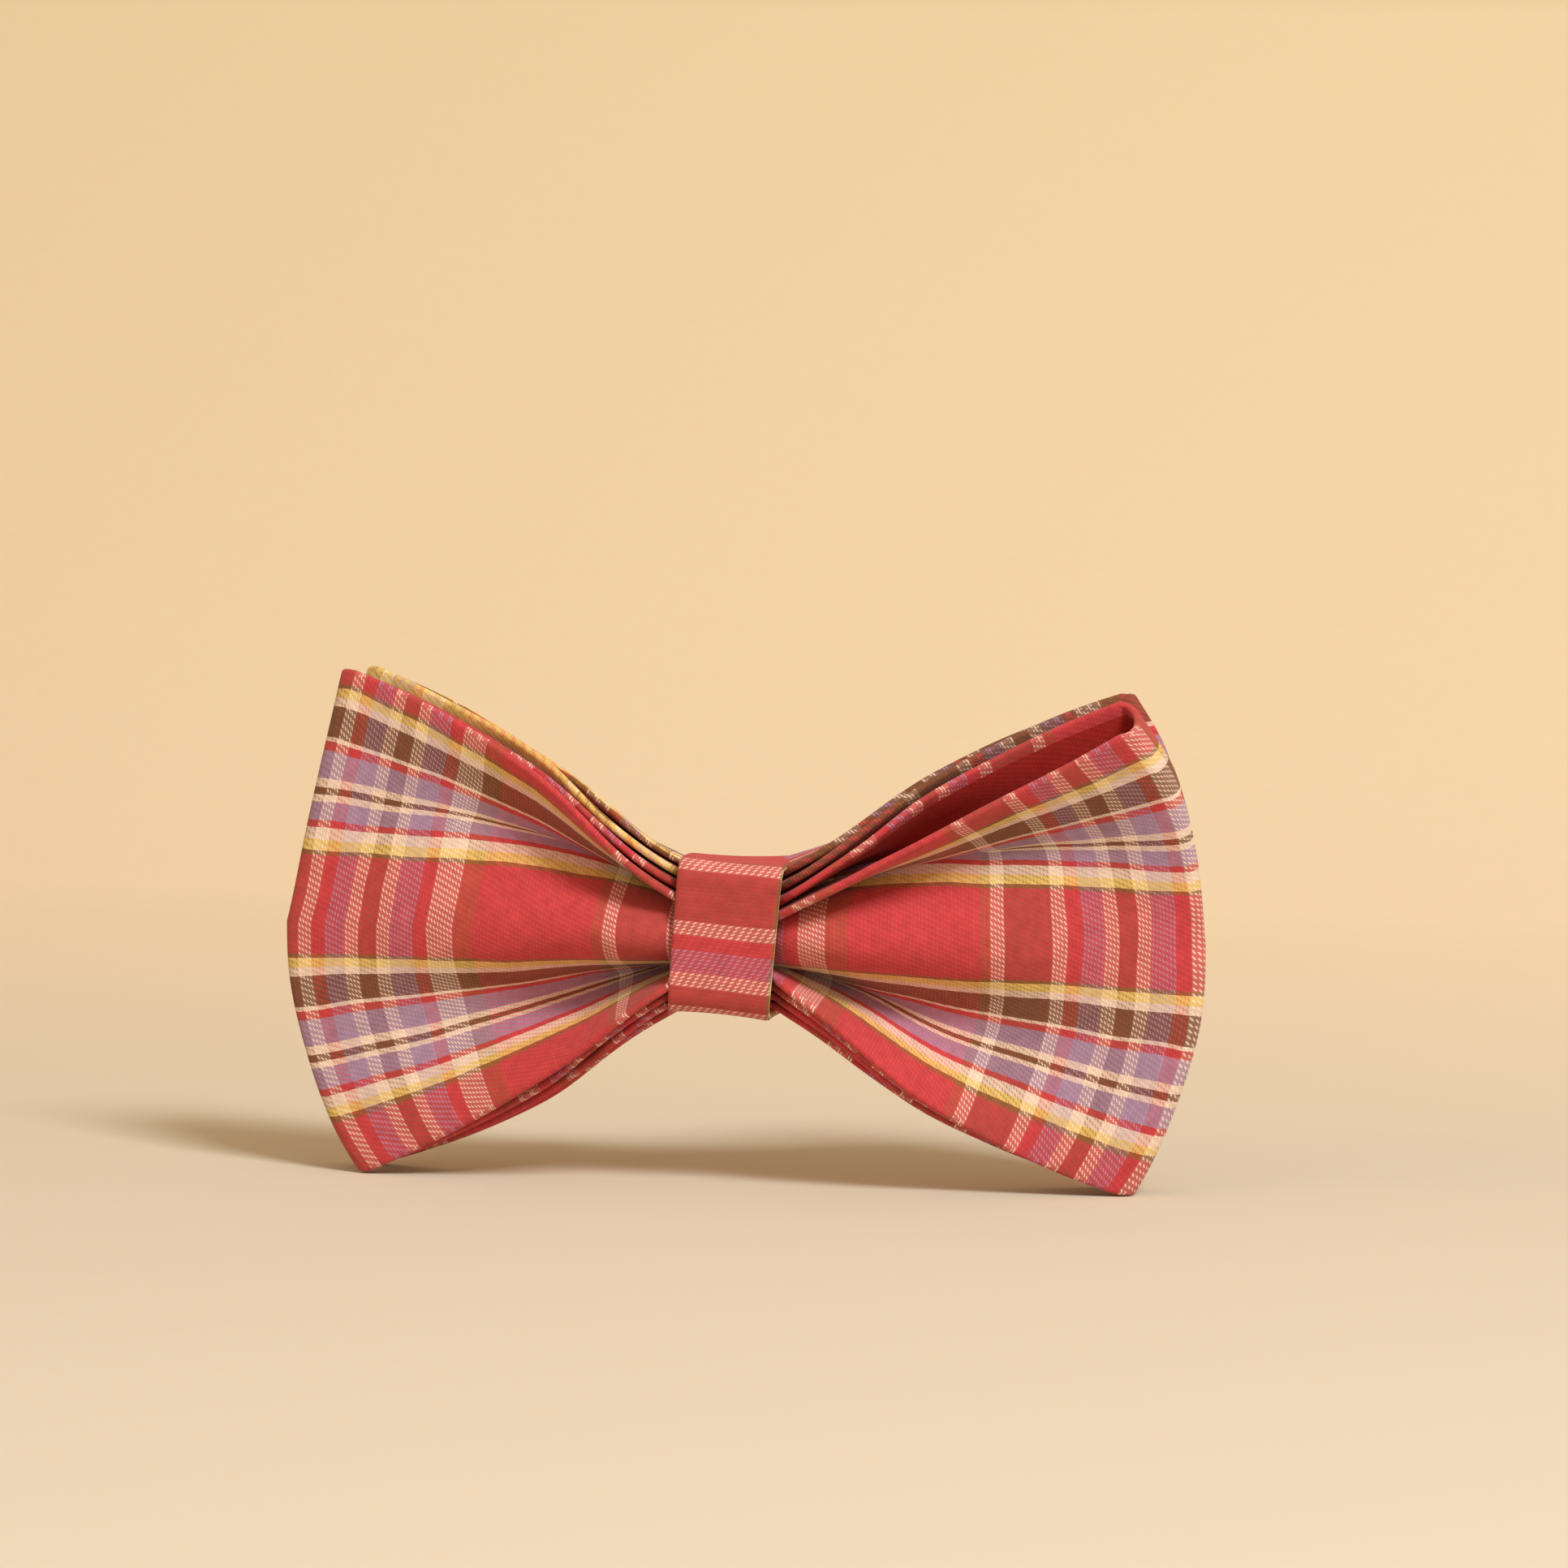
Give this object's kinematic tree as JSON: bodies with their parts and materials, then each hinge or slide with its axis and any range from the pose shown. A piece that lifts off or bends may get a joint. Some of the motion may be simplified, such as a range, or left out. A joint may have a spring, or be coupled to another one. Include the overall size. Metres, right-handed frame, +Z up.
{
  "type": "bow tie",
  "caption": "Pre-tied double bow tie in red plaid twill cotton, with a pleated waist, a wrapped centre band and a sprung metal clip behind.",
  "frame": {"origin": "centre of the footprint, on the surface that the tie stands on", "axes": "+X along the width, to the right as seen from the front; -Y is the front; +Z up"},
  "size_m": [0.12, 0.0262, 0.0664],
  "materials": {
    "plaid_cotton": "matt yarn-dyed twill in red, white, brown, lavender and yellow",
    "interfacing": "plain white non-woven",
    "thread": "matt red sewing thread",
    "nickel": "nickel-plated pressed steel",
    "spring_steel": "bright drawn wire"
  },
  "bodies": {
    "bow": {"front_bow": "plaid_cotton", "front_bow_interfacing": "interfacing", "back_bow": "plaid_cotton", "back_bow_interfacing": "interfacing", "centre_band": "plaid_cotton", "centre_band_interfacing": "interfacing", "gathering_thread": "thread", "band_stitches": "thread", "clip_base": "nickel", "clip_pin_left": "nickel", "clip_pin_right": "nickel"},
    "jaw_left": {"clip_jaw_left": "nickel", "clip_spring_left": "spring_steel"},
    "jaw_right": {"clip_jaw_right": "nickel", "clip_spring_right": "spring_steel"}
  },
  "joints": [
    {"name": "jaw_left_hinge", "type": "hinge", "parent": "bow", "child": "jaw_left", "pos_m": [-0.014, 0.00764, 0.03322], "axis": [0, 0, -1], "range_deg": [0, 30], "stiffness_Nm_per_rad": 0.02, "springref_deg": -17.19},
    {"name": "jaw_right_hinge", "type": "hinge", "parent": "bow", "child": "jaw_right", "pos_m": [0.014, 0.00764, 0.03322], "axis": [0, 0, 1], "range_deg": [0, 30], "stiffness_Nm_per_rad": 0.02, "springref_deg": -17.19}
  ]
}
